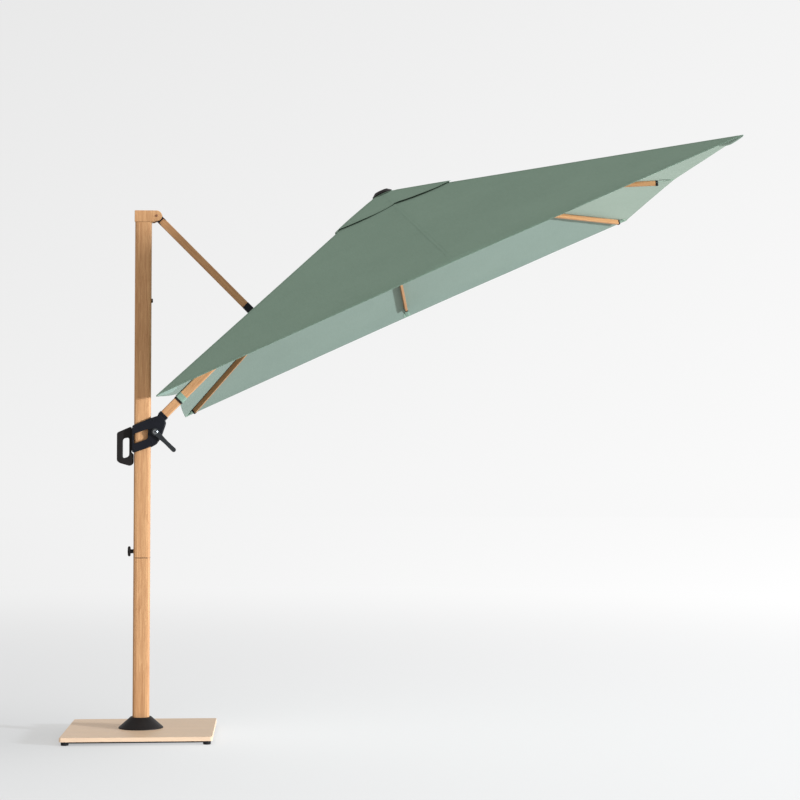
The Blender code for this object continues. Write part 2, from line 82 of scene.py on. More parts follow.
UP, EY = Vector((0, 0, 1)), Vector((0, 1, 0))
CARRIAGE_PIN, KNEE, HEAD_PIN = joint_at("carriage_pin"), joint_at("knee"), joint_at("raise")
ARM_PIN = joint_at("fold")
EX = (joint_at("rib_right_hinge") - ARM_PIN).normalized()
EN = EX.cross(EY)
HUB = (joint_at("rib_right_hinge") + ARM_PIN) / 2
HUB_HEIGHT, HUB_PIN_RADIUS = 0.570, (HUB - ARM_PIN).length
CENTRE = HUB - HUB_HEIGHT * EN
SIDE_FALL, CORNER_FALL = radians(21.2), radians(15.86)
ARM_DIR = cos(SIDE_FALL) * EX + sin(SIDE_FALL) * EN
ARM_UP = cos(SIDE_FALL) * EN - sin(SIDE_FALL) * EX
ARM_LENGTH = (ARM_PIN - CARRIAGE_PIN).dot(ARM_DIR)
STRUT_DIR = (HEAD_PIN - KNEE).normalized()
SPOKES = {
    "right": 0, "far_right": 45, "far": 90, "far_left": 135,
    "arm": 180, "near_left": 225, "near": 270, "near_right": 315,
}  # fmt: skip
RIB_WIDTH, RIB_DEPTH = 0.015, 0.027
SIDE_RIB_END, CORNER_RIB_END = 1.405, 2.036
ARM_WIDTH, ARM_DEPTH = 0.038, 0.047

# ---------------------------------------------------------------- the cloth
HALF, HOLE = 1.500, 0.200  # half sides of the canopy and of its opening at the top
CLOTH = 0.0013  # how thick the cloth is
SIDE_RIDGE, ARM_RIDGE, CORNER_RIDGE = 0.6103, 0.6220, 0.6056  # heights on the canopy's axis
ROUNDING = 0.012  # how wide the cloth bends over a rib
SAG = 0.045  # how deep the cloth dips between two ribs
DROOP, DROOP_FROM = 0.019, 1.385  # the near and far edges hang down past the ribs' ends
TIP = 0.002  # how far the corners are pulled out
ARM_BOW, SCALLOP = 0.055, 0.003  # how far the edge is drawn in at the arm, and between ribs
SPLIT = 0.45  # where one rib's share of a side ends, from its middle (0) to its corner (1)
HEM, VENT_HEM = 0.027, 0.018
VENT_HALF, VENT_HOLE = 0.320, 0.040
SLOT_HALF = 0.031  # half width of the strut's opening
STRIP_AT, STRIP_HALF = 0.3, 0.050  # the strip's last column, and its half width
STAYS = (None, None)  # in place of a direction and a point: this piece doesn't fold
SLOT_COLUMNS = 0.4  # cells whose two columns add up to less lie over the slot, and are left out


def is_corner(name):
    return SPOKES[name] % 90 == 45


def fall_of(name):
    return CORNER_FALL if is_corner(name) else SIDE_FALL


def outwards(name):
    turn = radians(SPOKES[name])
    return cos(turn) * EX + sin(turn) * EY


def body_of(name):
    return "arm" if name == "arm" else f"rib_{name}"


def arm_point(u, v=0.0):
    """A point of the arm: u along it from the carriage pin, v above its middle."""
    return ARM_PIN + (u - ARM_LENGTH) * ARM_DIR + v * ARM_UP


def arm_distance(u):
    """How far from the canopy's axis the arm is at u."""
    return -(arm_point(u) - CENTRE).dot(EX)


def squared(a, b, rounding):
    """The larger and smaller of |a| and |b|, rounded off where they meet, and their distance."""
    large, small = max(abs(a), abs(b)), min(abs(a), abs(b))
    apart = hypot(large - small, rounding)
    middle = (large + small) / 2
    large, small = middle + apart / 2, max(middle - apart / 2, 0.0)
    return large, hypot(small, rounding) - rounding, apart - rounding


def canopy_height(a, b):
    """The canopy's underside over the plane of its corners. It dips a little between the ribs."""
    ridge = ARM_RIDGE if a < 0 and abs(a) > abs(b) else SIDE_RIDGE
    large, small, apart = squared(a, b, ROUNDING)
    t = small / large
    height = ridge + (CORNER_RIDGE - ridge) * t - tan(SIDE_FALL) * large
    height += (tan(SIDE_FALL) - tan(CORNER_FALL) * sqrt(2)) * small
    between, x = 4 * t * apart / large, large / HALF
    if abs(b) > abs(a) and large > DROOP_FROM:
        height -= DROOP * (1 - t) * ((large - DROOP_FROM) / (HALF - DROOP_FROM)) ** 2
    ripple = 0.0014 * noise.noise(Vector((2.1 * a, 2.1 * b, 3.0)))
    ripple += 0.0006 * noise.noise(Vector((6.0 * a, 6.0 * b, 9.0)))
    return height - between * (SAG * x * (1.03 - x) + ripple)


def softer_least(x, y, rounding):
    return (x + y - hypot(x - y, rounding)) / 2


def vent_height(a, b):
    """The underside of the small top canopy. Its loose edge waves a little."""
    large, small, apart = squared(a, b, 0.006)
    at_arm = a < 0 and abs(a) > abs(b)
    ridge = 0.6127 - 0.3711 * large
    if at_arm:
        ridge = 0.6121 - 0.3015 * large - 0.52 * max(large - 0.2, 0.0) ** 2
    corner = 0.6115 - 0.3916 * large
    t = small / large
    ridge, corner = softer_least(ridge, 0.5945, 0.004), softer_least(corner, 0.5945, 0.004)
    loose = max(large / VENT_HALF - 0.45, 0.0) ** 2
    wave = 0.030 * noise.noise(Vector((7.5 * a, 7.5 * b, 5.3))) + 0.006 * sin(19 * (a - b) + 0.6)
    sag = 0.006 * 4 * t * apart / large * large / VENT_HALF
    over_rib = 0.016 * a / hypot(a, 0.022) * (1 - t) ** 3 * large / VENT_HALF * (abs(b) > abs(a))
    return ridge + (corner - ridge) * t - sag + loose * (wave * 0.4 + over_rib)


def cloth_point(height, a, b, lift=0.0):
    return CENTRE + a * EX + b * EY + (height(a, b) + lift) * EN


def cloth_normal(height, a, b, step=0.0015):
    slope_a = (height(a + step, b) - height(a - step, b)) / (2 * step)
    slope_b = (height(a, b + step) - height(a, b - step)) / (2 * step)
    return (EN - slope_a * EX - slope_b * EY).normalized()


def share_of_side(name, m, c, slotted):
    """The side and the place on it, -1 to 1, of column c of one rib's share of the cloth."""
    turn = SPOKES[name]
    if is_corner(name):
        inwards = (1 - SPLIT) * abs(c)
        return (turn - 45, 1 - inwards) if c < 0 else (turn + 45, inwards - 1)
    if name == "arm" and slotted:
        knots = ((0, 0), (0.2, SLOT_HALF), (STRIP_AT, STRIP_HALF), (1, SPLIT * m))
        for (c0, across0), (c1, across1) in zip(knots, knots[1:]):
            if c0 <= abs(c) <= c1:
                across = across0 + (abs(c) - c0) / (c1 - c0) * (across1 - across0)
        return turn, across / m * (1 if c > 0 else -1)
    return turn, SPLIT * c


def cloth_place(name, m, c, half=HALF):
    """(a, b) on the square of half side m, with the outer edge drawn in between the ribs."""
    turn, t = share_of_side(name, m, c, half == HALF)
    drawn = 0.0
    if half == HALF and m > 1.1:
        loose = ((m - 1.1) / (HALF - 1.1)) ** 2
        if turn == 180:
            drawn = ARM_BOW * (1 - abs(t)) ** 1.5 * loose
        else:
            drawn = SCALLOP * 4 * abs(t) * (1 - abs(t)) * loose
        drawn -= TIP * abs(t) ** 8 * loose
    turn = radians(turn)
    return (
        (m - drawn) * cos(turn) - t * m * sin(turn),
        (m - drawn) * sin(turn) + t * m * cos(turn),
    )


# ---------------------------------------------------------------- mesh building
class Pile:
    """Closed shapes gathered into one mesh, with smooth normals where they are given."""

    def __init__(self):
        self.points, self.faces, self.normals = [], [], []

    def add(self, points, faces, normals=None):
        first = len(self.points)
        self.points += points
        for k, face in enumerate(faces):
            self.faces.append(tuple(first + i for i in face))
            if normals and normals[k]:
                self.normals += normals[k]
            else:
                a, b, c = (points[face[i]] for i in (0, 1, 2))
                self.normals += [(b - a).cross(c - a).normalized()] * len(face)
        return self

    def made(self, name, *looks):
        mesh = bpy.data.meshes.new(name)
        mesh.from_pydata([tuple(p) for p in self.points], [], self.faces)
        mesh.polygons.foreach_set("use_smooth", [True] * len(mesh.polygons))
        mesh.normals_split_custom_set([tuple(n) for n in self.normals])
        for look in looks:
            mesh.materials.append(look)
        obj = bpy.data.objects.new(name, mesh)
        bpy.context.scene.collection.objects.link(obj)
        return obj


def shell(rows, columns, place, missing=()):
    """A closed skin on a grid; place(row, column) gives (lower point, upper point, normal)."""
    count = len(columns)
    cells = [[place(row, column) for column in columns] for row in rows]
    points = [p[layer] for layer in (0, 1) for line in cells for p in line]
    up = [p[2] for line in cells for p in line]
    upper = len(rows) * count
    there = {
        (i, j)
        for i in range(len(rows) - 1)
        for j in range(count - 1)
        if (i, j) not in missing
    }  # fmt: skip
    faces, normals = [], []
    for i, j in sorted(there):
        corners = [i * count + j, (i + 1) * count + j, (i + 1) * count + j + 1, i * count + j + 1]
        faces.append(tuple(upper + k for k in corners))
        normals.append([up[k] for k in corners])
        faces.append(tuple(reversed(corners)))
        normals.append([-up[k] for k in reversed(corners)])
        sides = ((i, j - 1), (i + 1, j), (i, j + 1), (i - 1, j))
        for k, beside in enumerate(sides):
            if beside not in there:
                a, b = corners[k], corners[(k + 1) % 4]
                faces.append((a, b, upper + b, upper + a))
                normals.append(None)
    used = sorted({k for face in faces for k in face})
    index = {k: n for n, k in enumerate(used)}
    faces = [tuple(index[k] for k in face) for face in faces]
    return [points[k] for k in used], faces, normals


def stitch(pile, at, along, normal, long=0.0032, wide=0.00045, high=0.0005):
    """One stitch lying on the cloth."""
    side = normal.cross(along)
    points = []
    for lift, shrink in ((-0.0004, 1.0), (high, 0.62)):
        for s, t in ((-1, -1), (1, -1), (1, 1), (-1, 1)):
            points.append(at + s * shrink * long / 2 * along + t * shrink * wide * side + lift * normal)
    faces = [(0, 3, 2, 1), (4, 5, 6, 7), (0, 1, 5, 4), (1, 2, 6, 5), (2, 3, 7, 6), (3, 0, 4, 7)]
    pile.add(points, faces)


def stitch_line(pile, line, pitch=0.0045):
    """Stitches along a line of (point, normal)."""
    left = pitch / 2
    for (a, normal), (b, _) in zip(line, line[1:]):
        span = (b - a).length
        if span < 1e-6:
            continue
        along = (b - a) / span
        while left < span:
            stitch(pile, a + left * along, along, normal)
            left += pitch
        left -= span


def section(at, first, second, width, depth, corner, steps=3):
    """A rounded rectangle of points."""
    points = []
    for turn, (sx, sy) in enumerate(((1, 1), (-1, 1), (-1, -1), (1, -1))):
        for k in range(steps + 1):
            angle = pi / 2 * (turn + k / steps)
            x = sx * (width / 2 - corner) + corner * cos(angle)
            y = sy * (depth / 2 - corner) + corner * sin(angle)
            points.append(at + x * first + y * second)
    return points


def skin(name, rings, look, closed=False, sharp=35):
    """A skin over equal rings, with its ends filled or joined to each other."""
    count, points, faces = len(rings[0]), [p for ring in rings for p in ring], []
    for k in range(len(rings) if closed else len(rings) - 1):
        a, b = k * count, (k + 1) % len(rings) * count
        faces += [(a + i, a + (i + 1) % count, b + (i + 1) % count, b + i) for i in range(count)]
    if not closed:
        faces += [tuple(reversed(range(count))), tuple(range(len(points) - count, len(points)))]
    mesh = bpy.data.meshes.new(name)
    mesh.from_pydata([tuple(p) for p in points], [], faces)
    mesh.calc_loop_triangles()
    centre = sum((Vector(p) for p in points), Vector()) / len(points)
    volume = sum(
        (mesh.vertices[t.vertices[0]].co - centre).dot(
            (mesh.vertices[t.vertices[1]].co - centre).cross(mesh.vertices[t.vertices[2]].co - centre)
        )
        for t in mesh.loop_triangles
    )
    if volume < 0:
        mesh.flip_normals()
    mesh.polygons.foreach_set("use_smooth", [True] * len(mesh.polygons))
    mesh.set_sharp_from_angle(angle=radians(sharp))
    mesh.materials.append(look)
    obj = bpy.data.objects.new(name, mesh)
    bpy.context.scene.collection.objects.link(obj)
    return obj


def turned(name, profile, origin, axis, look, steps=32, lobes=0, lobe_depth=0.0):
    """A turned piece; the profile is (radius, height along the axis). Lobes wave its radius."""
    first = axis.cross(UP if abs(axis.z) < 0.9 else Vector((1, 0, 0))).normalized()
    second = axis.cross(first)
    rings = []
    for radius, height in profile:
        ring = []
        for k in range(steps):
            angle = 2 * pi * k / steps
            r = radius + lobe_depth * cos(lobes * angle)
            ring.append(origin + height * axis + r * (cos(angle) * first + sin(angle) * second))
        rings.append(ring)
    return skin(name, rings, look)


def fixed(piece, body):
    """Makes a piece move with a body."""
    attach(piece, body)


# ---------------------------------------------------------------- finishes
def finish_named(name):
    look = bpy.data.materials.new(name)
    look.use_nodes = True
    return look, look.node_tree, look.node_tree.nodes["Principled BSDF"]


def node(tree, kind, values=None, **settings):
    made = tree.nodes.new("ShaderNode" + kind)
    for key, value in settings.items():
        setattr(made, key, value)
    for key, value in (values or {}).items():
        if isinstance(value, bpy.types.NodeSocket):
            tree.links.new(value, made.inputs[key])
        else:
            made.inputs[key].default_value = value
    return made


def maths(tree, operation, a, b=0.0):
    return node(tree, "Math", {0: a, 1: b}, operation=operation).outputs[0]


def measured(tree, directions, scales, shift=0.0):
    """The point's distances along three directions, each times its scale."""
    point = node(tree, "TexCoord").outputs["Object"]
    parts = {}
    for k, (direction, scale) in enumerate(zip(directions, scales)):
        dot = node(tree, "VectorMath", {0: point, 1: direction * scale}, operation="DOT_PRODUCT")
        parts[k] = maths(tree, "ADD", dot.outputs["Value"], shift) if shift else dot.outputs["Value"]
    return node(tree, "CombineXYZ", parts).outputs[0]


def speckle(tree, vector, scale=1.0, detail=3.0, roughness=0.55, distortion=0.0):
    values = {
        "Vector": vector, "Scale": scale, "Detail": detail,
        "Roughness": roughness, "Distortion": distortion,
    }  # fmt: skip
    return node(tree, "TexNoise", values).outputs["Fac"]


def ranged(tree, value, low, high, to_low, to_high):
    values = {0: value, 1: low, 2: high, 3: to_low, 4: to_high}
    return node(tree, "MapRange", values).outputs[0]


def mixed(tree, share, a, b):
    return node(tree, "Mix", {0: share, 6: a, 7: b}, data_type="RGBA").outputs[2]


def bumped(tree, shader, height, distance, strength=1.0):
    made = node(tree, "Bump", {"Height": height, "Distance": distance, "Strength": strength})
    tree.links.new(made.outputs[0], shader.inputs["Normal"])


def link(tree, socket, shader, name):
    tree.links.new(socket, shader.inputs[name])


def three_directions(along):
    second = along.cross(EY if abs(along.y) < 0.7 else UP).normalized()
    return along, second, along.cross(second)


def wood_look(name, along, shift, painted_sheen=0.0, deep=0.0):
    """Printed timber film on metal: streaks along the member, flowing figure and short pores; darker as
    painted shade, paler as painted sheen.
    """
    look, tree, shader = finish_named(name)
    shader.inputs["Specular IOR Level"].default_value = 0.15
    directions = three_directions(along)

    def at(length, width):
        return measured(tree, directions, (1 / length, 1 / width, 1 / width), shift)

    figure = speckle(tree, at(0.55, 0.030), detail=3, distortion=1.1)
    bands = maths(tree, "FRACT", maths(tree, "MULTIPLY", figure, 7.0))
    streaks = speckle(tree, at(0.240, 0.0075), detail=4, roughness=0.65)
    fibres = speckle(tree, at(0.045, 0.0009), detail=2)
    pores = ranged(tree, speckle(tree, at(0.012, 0.00055), detail=1), 0.63, 0.70, 0.0, 1.0)
    broad = speckle(tree, at(0.9, 0.12), detail=2)

    broad = ranged(tree, broad, 0.3, 0.7, 0.0, 1.0)
    colour = mixed(tree, broad, (0.545, 0.300, 0.140, 1), (0.486, 0.262, 0.118, 1))
    colour = mixed(tree, ranged(tree, bands, 0.0, 1.0, 0.0, 0.80), colour, (0.370, 0.172, 0.070, 1))
    colour = mixed(tree, ranged(tree, streaks, 0.42, 0.70, 0.0, 0.86), colour, (0.300, 0.128, 0.050, 1))
    colour = mixed(tree, ranged(tree, fibres, 0.3, 0.75, 0.0, 0.30), colour, (0.640, 0.395, 0.210, 1))
    colour = mixed(tree, maths(tree, "MULTIPLY", pores, 0.38), colour, (0.165, 0.073, 0.028, 1))
    # A darker tone for a member that sits in shade: painted shade.
    if deep:
        colour = mixed(tree, deep, colour, (0.235, 0.112, 0.038, 1))
    # A paler tone: painted sheen, standing for the glare of the bright surroundings seen at a grazing
    # angle.
    if painted_sheen:
        colour = mixed(tree, painted_sheen, colour, (0.885, 0.745, 0.580, 1))
    link(tree, colour, shader, "Base Color")
    rough, duller = ranged(tree, fibres, 0.2, 0.8, 0.36, 0.50), maths(tree, "MULTIPLY", pores, 0.12)
    link(tree, maths(tree, "ADD", rough, duller), shader, "Roughness")
    raised, sunk = maths(tree, "MULTIPLY", fibres, 0.5), maths(tree, "MULTIPLY", pores, 0.7)
    height = maths(tree, "SUBTRACT", raised, sunk)
    bumped(tree, shader, height, 0.00012, 0.6)
    return look


def coated(name, base, other, roughness, grain, grain_depth):
    """Painted or moulded skin: fine even grain, and blotches that are a little lighter and duller."""
    look, tree, shader = finish_named(name)
    point = node(tree, "TexCoord").outputs["Object"]
    fine = speckle(tree, point, 1 / grain, detail=2)
    blotch = speckle(tree, point, 14.0, detail=4, roughness=0.6)
    scuffs = ranged(tree, speckle(tree, point, 160.0, detail=3, roughness=0.7), 0.62, 0.74, 0.0, 1.0)
    share = ranged(tree, blotch, 0.35, 0.7, 0.0, 0.25)
    share = maths(tree, "ADD", share, maths(tree, "MULTIPLY", scuffs, 0.18))
    link(tree, mixed(tree, share, (*base, 1), (*other, 1)), shader, "Base Color")
    rough = ranged(tree, blotch, 0.3, 0.7, roughness - 0.05, roughness + 0.07)
    rough = maths(tree, "ADD", rough, maths(tree, "MULTIPLY", scuffs, 0.08))
    link(tree, rough, shader, "Roughness")
    bumped(tree, shader, fine, grain_depth, 0.8)
    shader.inputs["Specular IOR Level"].default_value = 0.12
    return look


def bare_steel(name, axis, bright, dull):
    """Turned stainless steel: fine rings, slightly smeared."""
    look, tree, shader = finish_named(name)
    along, second, third = three_directions(axis)
    lines = speckle(tree, measured(tree, (along, second, third), (2600.0, 240.0, 240.0)), detail=2)
    cloud = speckle(tree, node(tree, "TexCoord").outputs["Object"], 60.0, detail=3)
    link(tree, mixed(tree, cloud, (*bright, 1), (*dull, 1)), shader, "Base Color")
    shader.inputs["Metallic"].default_value = 1.0
    link(tree, ranged(tree, lines, 0.3, 0.7, 0.24, 0.38), shader, "Roughness")
    bumped(tree, shader, lines, 0.00003, 0.5)
    return look


def woven(name, base, dark, light, pitch):
    """Plain weave of dyed yarn: crossing threads with painted shade in the sunk cells, yarns that differ a
    little, faint cloudiness.
    """
    look, tree, shader = finish_named(name)
    crossing = measured(tree, (EX, EY, EN), (2 * pi / pitch, 2 * pi / pitch, 0.0))
    parts = node(tree, "SeparateXYZ", {0: crossing})
    warp = maths(tree, "SINE", parts.outputs[0])
    weft = maths(tree, "SINE", parts.outputs[1])
    weave = maths(tree, "MULTIPLY", warp, weft)
    yarns_a = speckle(tree, measured(tree, (EX, EY, EN), (1 / 0.05, 1 / pitch, 0.0)), detail=2)
    yarns_b = speckle(tree, measured(tree, (EX, EY, EN), (1 / pitch, 1 / 0.05, 0.0), 31.7), detail=2)
    cloud = speckle(tree, node(tree, "TexCoord").outputs["Object"], 2.6, detail=4, roughness=0.6)
    slubs = speckle(tree, measured(tree, (EX, EY, EN), (1 / 0.30, 1 / 0.004, 0.0), 11.3), detail=2)

    colour = mixed(tree, ranged(tree, yarns_a, 0.35, 0.7, 0.0, 0.5), (*base, 1), (*dark, 1))
    colour = mixed(tree, ranged(tree, yarns_b, 0.35, 0.7, 0.0, 0.5), colour, (*light, 1))
    colour = mixed(tree, ranged(tree, slubs, 0.55, 0.75, 0.0, 0.25), colour, (*dark, 1))
    colour = mixed(tree, ranged(tree, cloud, 0.35, 0.68, 0.0, 0.30), colour, (*light, 1))
    # Darker where the weave's bump lies low: painted shade in the sunk cells.
    colour = mixed(tree, ranged(tree, weave, -1.0, 1.0, 0.22, 0.0), colour, (*dark, 1))
    link(tree, colour, shader, "Base Color")
    link(tree, ranged(tree, yarns_a, 0.3, 0.7, 0.80, 0.92), shader, "Roughness")
    shader.inputs["Specular IOR Level"].default_value = 0.15
    height = maths(tree, "MULTIPLY", weave, 0.5)
    height = maths(tree, "ADD", height, maths(tree, "MULTIPLY", yarns_a, 0.6))
    bumped(tree, shader, height, 0.00018, 0.45)
    return look


GREEN, GREEN_DARK, GREEN_LIGHT = (0.195, 0.279, 0.214), (0.155, 0.228, 0.172), (0.238, 0.332, 0.258)
CANVAS = woven("woven_canvas", GREEN, GREEN_DARK, GREEN_LIGHT, 0.0011)
# The canvas's underside is the same cloth, its colours set darker than the top's for how light reaches it
# there: painted shade.
UNDERSIDE_SHADE, UNDERSIDE_SHADE_DARK, UNDERSIDE_SHADE_LIGHT = (0.166, 0.212, 0.176), (0.134, 0.174, 0.143), (0.200, 0.252, 0.211)
CANVAS_UNDERSIDE_SHADE = woven("woven_canvas_underside_shade", UNDERSIDE_SHADE, UNDERSIDE_SHADE_DARK, UNDERSIDE_SHADE_LIGHT, 0.0011)
THREAD = coated("sewing_thread", (0.185, 0.255, 0.202), (0.24, 0.32, 0.26), 0.60, 0.0006, 0.00010)
WEBBING = woven("woven_webbing", (0.135, 0.188, 0.147), (0.100, 0.145, 0.110), GREEN, 0.0017)
BLACK_PAINT = coated("powder_coat", (0.0058, 0.0062, 0.0090), (0.014, 0.014, 0.018), 0.42, 0.0016, 0.00009)
BLACK_PLASTIC = coated(
    "moulded_plastic", (0.0105, 0.0085, 0.0080), (0.022, 0.019, 0.018), 0.46, 0.0007, 0.00010
)  # fmt: skip
RUBBER = coated("rubber_foot", (0.012, 0.012, 0.012), (0.024, 0.023, 0.022), 0.80, 0.0010, 0.00020)
CAST = coated("painted_ballast", (0.012, 0.012, 0.013), (0.026, 0.025, 0.024), 0.62, 0.0042, 0.00035)
STEEL_Y = bare_steel("turned_steel", EY, (0.23, 0.24, 0.245), (0.16, 0.165, 0.17))
STEEL_Z = bare_steel("drawn_steel", UP, (0.50, 0.505, 0.51), (0.42, 0.42, 0.425))
BROWN_PLASTIC = coated("brown_plastic", (0.200, 0.085, 0.045), (0.26, 0.12, 0.065), 0.5, 0.0007, 0.00008)
# A dark brown for the ring at the mast's joint: painted shade, standing for the shadow in the gap.
JOINT_SHADE = coated("mast_joint_shade", (0.045, 0.020, 0.012), (0.07, 0.034, 0.02), 0.6, 0.0007, 0.00008)
LEVER_GRIP = coated("lever_grip", (0.020, 0.021, 0.022), (0.036, 0.036, 0.037), 0.50, 0.0007, 0.00010)

WOOD = {
    # The cover's top is made paler: painted sheen.
    "base_cover": wood_look("wood_look_cover", Vector((1, 0, 0)), 0.0, 0.42),
    "mast": wood_look("wood_look_mast", UP, 3.7),
    "mast_head": wood_look("wood_look_head", UP, 8.1),
    "strut_tube": wood_look("wood_look_strut", STRUT_DIR, 12.9),
    "arm_tube": wood_look("wood_look_arm", ARM_DIR, 17.3),
}
FINISHES = {
    "base_cover": WOOD["base_cover"], "ballast_plate": CAST, "centre_foot": RUBBER,
    "cone_collar": BLACK_PLASTIC, "spigot": STEEL_Z, "lower_mast": WOOD["mast"],
    "upper_mast": WOOD["mast"], "mast_insert": STEEL_Z, "mast_head": WOOD["mast_head"],
    "head_pin": STEEL_Y, "lock_knob": BLACK_PLASTIC, "stop_button": BLACK_PLASTIC,
    "strut_upper_end": BLACK_PAINT, "strut_tube": WOOD["strut_tube"], "strut_fork": BLACK_PAINT,
    "arm_socket": BLACK_PAINT, "arm_tube": WOOD["arm_tube"], "arm_hub_end": BLACK_PAINT,
    "knee_lug": BLACK_PAINT, "knee_pin": STEEL_Y, "strap_band": BLACK_PLASTIC,
    "arm_strap": CANVAS, "cheek_near": BLACK_PAINT, "cheek_far": BLACK_PAINT,
    "handle": BLACK_PLASTIC, "guide_left": BLACK_PLASTIC, "guide_right": BLACK_PLASTIC,
    "pivot_bolt": STEEL_Y, "pivot_nut": STEEL_Y, "clamp_lever": LEVER_GRIP,
    "crown_hub": BLACK_PLASTIC, "top_cap": BLACK_PLASTIC, "runner": BLACK_PLASTIC,
    "canopy": CANVAS, "vent": CANVAS,
}  # fmt: skip
for name in SPOKES:
    FINISHES[f"stretcher_{name}"] = BLACK_PAINT
    if name != "arm":
        run = cos(fall_of(name)) * outwards(name) - sin(fall_of(name)) * EN
        shift = 20.0 + SPOKES[name] / 9
        # The ribs' timber is darkened: painted shade, as they sit under the canopy.
        FINISHES[f"rib_{name}"] = wood_look(f"wood_look_shaded_rib_{name}", run, shift, deep=0.45)
for name, obj in frame["nodes"].items():
    look = FINISHES.get(name, RUBBER)
    for slot in obj.material_slots:
        slot.material = look
    if not obj.material_slots:
        obj.data.materials.append(look)


# ---------------------------------------------------------------- canopy
def settle(piece, name, folds=None):
    """Rides on the rib under it, with a mesh of its own where folds gives a direction; folds is the
    direction and the plane's point.
    """
    axis, anchor = folds or (EN.cross(outwards(name)), HUB)
    fixed(piece, body_of(name))
    if axis:
        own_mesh(piece)
        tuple(axis)
        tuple(anchor)


def parts_of_share(name):
    """Label, columns, and the way it closes up, of each part of a rib's share of the canopy."""
    if name == "arm":
        strip = [c for c in ARM_COLUMNS if c <= STRIP_AT]
        flap = [c for c in ARM_COLUMNS if c >= STRIP_AT]
        yield "strip", both_ways(strip), STAYS
        # Facing outwards along the arm, columns grow towards -Y.
        yield "left", [-c for c in reversed(flap)], (EY, HUB + STRIP_HALF * EY)
        yield "right", flap, (EY, HUB - STRIP_HALF * EY)
    else:
        fall, sideways = fall_of(name), EN.cross(outwards(name))
        ridge = cos(fall) * outwards(name) - sin(fall) * EN
        top = CENTRE + (CORNER_RIDGE if is_corner(name) else SIDE_RIDGE) * EN
        for label, sign in (("left", -1), ("right", 1)):
            if is_corner(name):
                turn = radians(SPOKES[name] + 45 * sign)
                out = cos(turn) * EX + sin(turn) * EY
                axis = (sin(SIDE_FALL) * out + cos(SIDE_FALL) * EN).cross(ridge)
            else:
                axis = sideways - 0.035 * sign * ridge.cross(sideways)
            columns = [sign * c for c in COLUMNS][::sign]
            yield label, columns, (axis.normalized(), top)


def declare_cloth(wide, long, cut=None):
    """A stretched sheet, cut from wide by long; cut is its area where it isn't a rectangle. The area is
    worked out and not kept.
    """
    cut or wide * long  # fmt: skip


KNEE_AT = (KNEE - CARRIAGE_PIN).dot(ARM_DIR)
SLOT_FROM, SLOT_TO = arm_distance(KNEE_AT + 0.152), arm_distance(KNEE_AT - 0.118)
ROWS = sorted(
    [HOLE, 0.207, 0.220, 0.2205, 0.26, 0.31, 0.37, 0.44, 0.52, 0.61, 0.70, 0.79, 0.88, 0.97, 1.06, 1.14]
    + [1.21, 1.27, 1.32, 1.355, 1.385, 1.405, 1.43, 1.455, HALF - HEM - 0.002, HALF - HEM, HALF - HEM / 2]
    + [HALF - 0.0050, HALF - 0.0015, HALF, SLOT_FROM, SLOT_TO]
)
COLUMNS = (0, 0.008, 0.018, 0.045, 0.1, 0.19, 0.3, 0.44, 0.6, 0.8, 1)
ARM_COLUMNS = (0, 0.05, 0.10, 0.15, 0.2, 0.225, 0.3, 0.4, 0.52, 0.66, 0.82, 1)


def both_ways(columns):
    return [-c for c in reversed(columns[1:])] + list(columns)


def canopy_layers(m):
    """How far the cloth's lower and upper faces lie over its underside: thicker in the hems."""
    if m > HALF - 0.001:
        return 0.0003, 0.0011
    if m > HALF - 0.002:
        return -0.0002, 0.0020
    if m >= HALF - HEM or m <= HOLE + 0.020:
        return -0.0004, 0.0023
    return 0.0, CLOTH


def vent_layers(m):
    if m > VENT_HALF - 0.0005:
        return 0.0003, 0.0010
    if m >= VENT_HALF - VENT_HEM:
        return -0.0003, 0.0021
    return 0.0, CLOTH


def cloth_share(label, name, rows, columns, height, layers, half, missing=()):
    def place(m, c):
        a, b = cloth_place(name, m, c, half)
        low, high = layers(m)
        return (
            cloth_point(height, a, b, low),
            cloth_point(height, a, b, high),
            cloth_normal(height, a, b),
        )

    cloth = Pile().add(*shell(rows, columns, place, missing)).made(f"{label}_{name}", CANVAS, CANVAS_UNDERSIDE_SHADE)
    # Faces turned downwards take the underside's copy of the canvas, whose colours are painted shade.
    for face in cloth.data.polygons:
        face.material_index = int(face.normal.dot(EN) < -0.3)
    return cloth


def spoke_spot(height, name, distance, aside, lift):
    """A point on the cloth by its distance along a spoke and aside from it, with the normal."""
    turn = radians(SPOKES[name])
    a = distance * cos(turn) - aside * sin(turn)
    b = distance * sin(turn) + aside * cos(turn)
    normal = cloth_normal(height, a, b)
    return cloth_point(height, a, b) + lift * normal, normal


def tape(pile, height, name, start, end, half_width, base):
    """A felled seam along a spoke: a raised strip with two sunk lines of stitches."""
    w = half_width
    profile = [
        (-w, -0.0003), (-w + 0.0003, 0.0007), (-w + 0.0022, 0.0009), (-w + 0.0030, 0.0005),
        (-w + 0.0038, 0.0009), (-0.003, 0.0010), (0.0, 0.0010), (0.003, 0.0010),
        (w - 0.0038, 0.0009), (w - 0.0030, 0.0005), (w - 0.0022, 0.0009), (w - 0.0003, 0.0007),
        (w, -0.0003),
    ]  # fmt: skip
    steps = max(2, ceil((end - start) / 0.030))
    rows = [start + (end - start) * k / steps for k in range(steps + 1)]

    def place(distance, column):
        aside, lift = column
        lower, normal = spoke_spot(height, name, distance, aside, base - 0.0006)
        upper, _ = spoke_spot(height, name, distance, aside, base + lift)
        return lower, upper, normal

    pile.add(*shell(rows, profile, place))
    for aside in (-w + 0.0030, w - 0.0030):
        line = [spoke_spot(height, name, d, aside, base + 0.0005) for d in rows]
        stitch_line(pile, line)


def hem_line(pile, name, m, height, lift, half, first=-1.0, last=1.0):
    """Stitches along a hem, from one column to another of a rib's share of it."""
    line = []
    for k in range(41):
        a, b = cloth_place(name, m, first + (last - first) * k / 40, half)
        normal = cloth_normal(height, a, b)
        line.append((cloth_point(height, a, b) + lift * normal, normal))
    stitch_line(pile, line)


